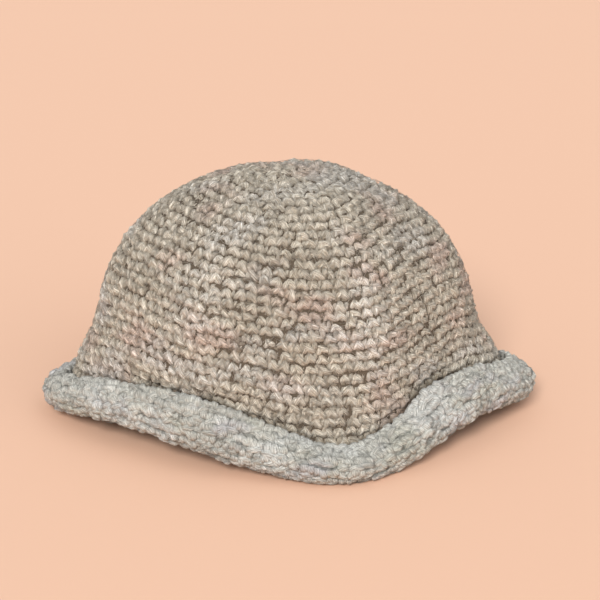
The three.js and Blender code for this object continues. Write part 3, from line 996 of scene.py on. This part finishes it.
def edge_guide(name, fabric):
    place, _ = on_fabric(fabric, ONCE_FROM_BACK, np.ones(len(ONCE_FROM_BACK)))
    before, _ = on_fabric(fabric, ONCE_FROM_BACK, np.full(len(ONCE_FROM_BACK), BEFORE_EDGE))
    facing = (place - before) / np.linalg.norm(place - before, axis=1)[:, None]
    return guide_line(name, place - facing * EDGE_INSET * MM, facing, len(ONCE_FROM_BACK))


brim_edge_loops = crocheted("brim_edge_loops", edge_guide("brim edge guide", brim_fabric),
                            edge_loops, 17, grey_wool, unevenness=0.7)

# %% [markdown]
# Between the stitches lies the rest of each loop, which fills the fabric but is hardly seen.
# More strands would cost many faces for nothing, so a thin shell under the stitches stands for
# it, dark as painted shade, and closes the gaps so that no light comes through.

# %% The wool between the stitches
def spots_on(fabric, rows, depth):
    """The spots at every second bearing of some rows, some millimetres under the grid."""
    sunk = fabric.place[::2] - fabric.outward[::2] * depth * MM
    return [spot for row in rows for spot in sunk[:, row]]


def fabric_shell(name, fabric, front_depth, back_depth, closes_at_top, wool):
    """A closed shell between two depths under the grid, in millimetres."""
    rows = range(3, len(GRID_SHARES), 3) if closes_at_top else range(0, len(GRID_SHARES) - 4, 4)
    vertices = spots_on(fabric, rows, front_depth) + spots_on(fabric, rows, back_depth)
    layer = len(vertices) // 2
    count = layer // len(rows)
    pairs = [(k, (k + 1) % count) for k in range(count)]
    faces = []
    for start in range(0, layer - count, count):
        for k, after in pairs:
            a, b = start + k, start + after
            faces += [(a, a + count, b + count, b),
                      (layer + a, layer + b, layer + b + count, layer + a + count)]
    last = layer - count
    for k, after in pairs:
        faces.append((last + k, layer + last + k, layer + last + after, last + after))
        if not closes_at_top:
            faces.append((k, after, layer + after, layer + k))
    if closes_at_top:
        for start, depth, flip in ((0, front_depth, False), (layer, back_depth, True)):
            vertices.append(fabric.place[0, 0] - np.array((0.0, 0.0, depth * MM)))
            pole = len(vertices) - 1
            for k, after in pairs:
                corners = (start + after, start + k) if flip else (start + k, start + after)
                faces.append((pole, *corners))
    spots = np.array(vertices)
    press(spots)
    mesh = new_mesh(name, spots, faces=faces, smooth=True)
    mesh.materials.append(wool)
    print(name, len(faces), "faces")
    return in_scene(name, mesh)


# Both shells are coloured dark as painted shade between the stitches.
crown_depths = fabric_shell("crown_between_stitches", crown_fabric, 1.6, 3.4, True, beige_depths)
brim_depths = fabric_shell("brim_between_stitches", brim_fabric, -1.0, 1.0, False, grey_depths)

# %% [markdown]
# Wool has a haze of loose hairs, and the photograph shows some of them as fine pale strokes
# across the stitches. A hair system would not export as a mesh, so each hair is a thin curved
# tube of a few faces that lies along the fabric and dips into it at both ends.

# %% Shapes of loose hairs
HAIR_RADIUS = 0.13
HairShape = namedtuple("HairShape", "name length sag side_bend")
HAIR_SHAPES = [
    HairShape("hair long", 9.0, 1.6, 1.2),
    HairShape("hair short", 5.5, 1.2, -0.7),
    HairShape("hair bent", 7.0, 1.4, 2.2),
]

loose_hairs = new_collection("loose hairs")
for hair in HAIR_SHAPES:
    points = [(share * hair.length / 2, hair.side_bend * (1 - share * share), -hair.sag * share * share,
               HAIR_RADIUS * (1.1 - 0.6 * share * share)) for share in np.linspace(-1.0, 1.0, 5)]
    stitch_shape(hair.name, [points], (3,), (4,), loose_hairs, lobe=0.0)

# %% [markdown]
# A second tree scatters the hairs over a surface, turned any way round and tilted very little.
# It ends as the first one does, so each hair also gets a tone of its own.

# %% The tree that scatters loose hairs
HAIR_TILT = 0.1


def hair_tree():
    tree, given, result = new_tree("Loose hairs", "GeometryNodeTree", [
        ("Surface", "Geometry"), ("Hairs Each Square Metre", "Float"), ("Hairs", "Collection"),
        ("Seed", "Int"), ("Wool", "Material")], [("Haze", "Geometry")])
    spread = add_node(tree, "GeometryNodeDistributePointsOnFaces", {
        "Mesh": given["Surface"], "Density": given["Hairs Each Square Metre"],
        "Seed": given["Seed"]}).outputs
    laid = picked_shapes(tree, given["Hairs"], spread["Points"], {"Rotation": spread["Rotation"]})
    about = add_node(tree, "FunctionNodeRandomValue", {
        0: (-HAIR_TILT, -HAIR_TILT, 0.0), 1: (HAIR_TILT, HAIR_TILT, math.tau), "Seed": given["Seed"]},
        data_type="FLOAT_VECTOR").outputs[0]
    turned = add_node(tree, "GeometryNodeRotateInstances", {"Instances": laid, "Rotation": about})
    real_wool(tree, given, turned.outputs["Instances"], result["Haze"])
    return tree


haze = hair_tree()

# %% [markdown]
# The hairs need a bare surface to lie on: the outside of each fabric, at the tips of its
# stitches. The grid is the crown's outer face, but the middle of the brim's fabric, whose right
# side faces the crown. The surface is only for scattering, and is removed after it.

# %% Loose hairs on both fabrics
CROWN_HAIRS_EACH_M2, BRIM_HAIRS_EACH_M2 = 55000.0, 40000.0
BAR_TIPS = 0.9


def outer_face(name, fabric, depth, first_share, last_share):
    """A face some millimetres under the grid, or over it, between two shares of its length."""
    rows = [r for r in range(len(GRID_SHARES)) if first_share <= GRID_SHARES[r] <= last_share][::3]
    spots = spots_on(fabric, rows, depth)
    count = len(spots) // len(rows)
    faces = []
    for start in range(0, (len(rows) - 1) * count, count):
        for k in range(count):
            after = (k + 1) % count
            corners = (start + k, start + count + k, start + count + after, start + after)
            faces.append(corners if depth < 0 else corners[::-1])
    return in_scene(name, new_mesh(name, spots, faces=faces))


def hazed(name, surface, density, seed, wool, beside_gutter=False):
    values = {"Hairs Each Square Metre": density, "Hairs": loose_hairs, "Seed": seed, "Wool": wool}
    return grown_by(haze, surface, name, values, wool, beside_gutter)


crown_hairs = hazed("crown_hairs", outer_face("crown outer face", crown_fabric, -1.0, 0.03, 0.97),
                    CROWN_HAIRS_EACH_M2, 31, beige_wool, beside_gutter=True)
brim_hairs = hazed("brim_hairs",
                   outer_face("brim outer face", brim_fabric, HALF_FABRIC + BAR_TIPS, 0.3, 0.97),
                   BRIM_HAIRS_EACH_M2, 37, grey_wool)

# %% [markdown]
# The hat stands on a plain pale floor, as in a small studio: one large face that runs out of
# every view, so no edge of a room shows.

# %% Floor
FLOOR_HALF = 6.0

floor_paint, _, _ = new_material("floor paint", {
    "Base Color": (0.775, 0.496, 0.355, 1.0), "Roughness": 0.9})
floor = in_scene("floor", new_mesh("floor", [
    (-FLOOR_HALF, -FLOOR_HALF, 0), (FLOOR_HALF, -FLOOR_HALF, 0), (FLOOR_HALF, FLOOR_HALF, 0),
    (-FLOOR_HALF, FLOOR_HALF, 0)], faces=[(0, 1, 2, 3)]))
floor.data.materials.append(floor_paint)
print("floor", FLOOR_HALF * 2, "m across")

# %% [markdown]
# A lamp over the left shoulder of the camera gives the stitches their small shadows, a weak one
# fills in from the right, and the pale surroundings do the rest. Area lamps would do too, but sun
# lamps light the whole hat evenly. Their wide angles give soft shadows, as under the brim.

# %% Light
WORLD_COLOUR, WORLD_STRENGTH = (0.975, 0.965, 0.97, 1.0), 0.58


def add_sun(name, towards, softness_degrees, strength, colour):
    light = in_scene(name, bpy.data.lights.new(name, "SUN"))
    light.data.angle = math.radians(softness_degrees)
    light.data.energy = strength
    light.data.color = colour
    light.rotation_euler = Vector(towards).to_track_quat("Z", "Y").to_euler()
    light.location = towards


add_sun("key light", (-0.22, -1.0, 0.74), 20.0, 2.75, (1.0, 0.98, 0.95))
add_sun("fill light", (0.9, -0.8, 0.9), 50.0, 0.6, (0.96, 0.98, 1.0))
world = bpy.data.worlds.new("pale room")
world.use_nodes = True
room = world.node_tree.nodes["Background"].inputs
room["Color"].default_value, room["Strength"].default_value = WORLD_COLOUR, WORLD_STRENGTH
bpy.context.scene.world = world
bpy.context.scene.view_settings.view_transform = "Standard"

# %% [markdown]
# Each piece now stands for its solid: the solid stays for weight and touch, and is hidden from
# view. The shapes of single stitches were only patterns, so they are cleared away first.

# %% Handing the pieces over
for collection in (right_side, wrong_side, inner_side, edge_loops, loose_hairs):
    for shape in list(collection.objects):
        bpy.data.objects.remove(shape)
    bpy.data.collections.remove(collection)

crown_pieces = [crown_top_stitches, crown_side_stitches, crown_inside_stitches, crown_depths, crown_hairs]
brim_pieces = [brim_outer_stitches, brim_gutter_stitches, brim_edge_loops, brim_depths, brim_hairs]
for piece in crown_pieces:
    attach(piece, "root")
    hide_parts("crown")
for piece in brim_pieces:
    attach(piece, "root")
    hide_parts("rolled_brim")
print(len(crown_pieces), "pieces for the crown,", len(brim_pieces), "for the brim")
